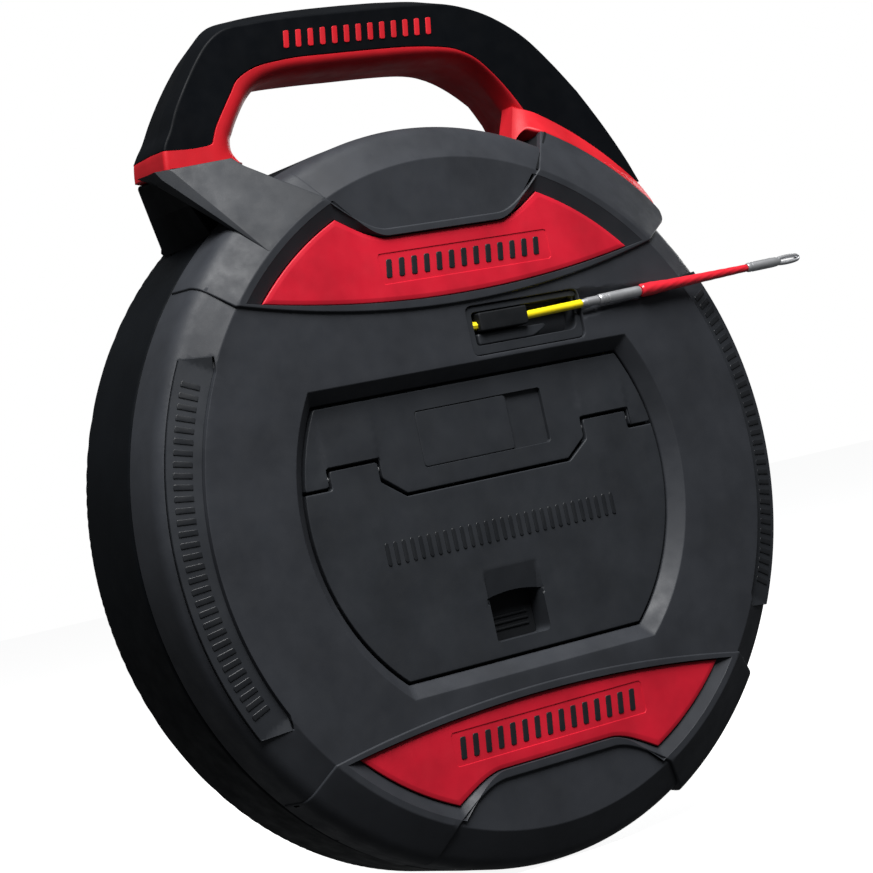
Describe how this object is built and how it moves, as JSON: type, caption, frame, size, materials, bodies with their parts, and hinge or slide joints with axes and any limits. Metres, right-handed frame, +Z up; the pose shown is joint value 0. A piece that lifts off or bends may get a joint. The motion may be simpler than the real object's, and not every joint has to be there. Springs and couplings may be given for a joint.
{
  "type": "fish tape reel",
  "caption": "Slim round fish tape reel with a carrying handle, a hinged accessory bay, a turning inner cage and a rod end with a swivelling leader.",
  "frame": {"origin": "on the ground below the middle of the round case", "axes": "+X to the right seen from the front, +Y from the front face to the back, +Z up through the handle"},
  "size_m": [0.3287, 0.0774, 0.3584],
  "materials": {
    "shell": "fine textured dark grey moulding",
    "panel": "fine textured dark grey moulding, slightly darker",
    "black": "satin black moulding",
    "red": "satin red inlay",
    "soft_red": "soft red overmould",
    "rod": "yellow coated glass fibre rod",
    "leader": "red coated steel cable",
    "steel": "turned steel",
    "cage": "glass filled nylon",
    "bronze": "sintered bronze"
  },
  "bodies": {
    "case": {"front_shell": "shell", "rear_shell": "black", "upper_frame": "shell", "lower_frame": "shell", "upper_plate": "red", "lower_plate": "red", "side_pad_left": "panel", "side_pad_right": "panel", "handle_core": "black", "handle_grip": "soft_red", "grip_strip": "soft_red", "handle_root_left": "black", "handle_root_right": "black", "handle_screw_1": "steel", "handle_screw_2": "steel", "handle_screw_3": "steel", "handle_screw_4": "steel", "accessory_tray": "black", "hinge_panel": "panel", "hinge_pin_left": "steel", "hinge_pin_right": "steel", "port_bezel": "panel", "rod_guide": "black", "rod_clamp": "black", "rod_end": "rod", "rod_ferrule": "steel", "swivel_sleeve": "steel", "rod_lead": "rod", "axle_post": "cage", "axle_washer": "steel", "axle_screw": "steel", "case_screw_1": "steel", "case_screw_2": "steel", "case_screw_3": "steel", "case_screw_4": "steel", "case_screw_5": "steel", "case_screw_6": "steel"},
    "slider": {"slide_button": "panel"},
    "lid": {"lid": "panel", "latch_keeper": "black", "latch_spring": "steel"},
    "latch": {"lid_latch": "black"},
    "cage": {"storage_cage": "cage", "cage_lip": "cage", "rod_coil": "rod", "cage_bushing": "bronze"},
    "tip": {"flexible_leader": "leader", "pulling_eye": "steel"}
  },
  "joints": [
    {"name": "cage_spin", "type": "hinge", "parent": "case", "child": "cage", "pos_m": [0, 0, 0.15025], "axis": [0, 1, 0], "continuous": true},
    {"name": "lid_hinge", "type": "hinge", "parent": "case", "child": "lid", "pos_m": [0, -0.02614, 0.16781], "axis": [-1, 0, 0], "range_deg": [0, 95]},
    {"name": "latch_slide", "type": "slide", "parent": "lid", "child": "latch", "axis": [0, 0, 1], "range_m": [0, 0.003], "stiffness_N_per_m": 300, "springref_m": -0.002, "deforming": ["latch_spring"]},
    {"name": "button_slide", "type": "slide", "parent": "case", "child": "slider", "axis": [1, 0, 0], "range_m": [0, 0.0177]},
    {"name": "tip_swivel", "type": "hinge", "parent": "case", "child": "tip", "pos_m": [0.03173, -0.0326, 0.21668], "axis": [0.9981, -0.0549, 0.0269], "continuous": true}
  ]
}
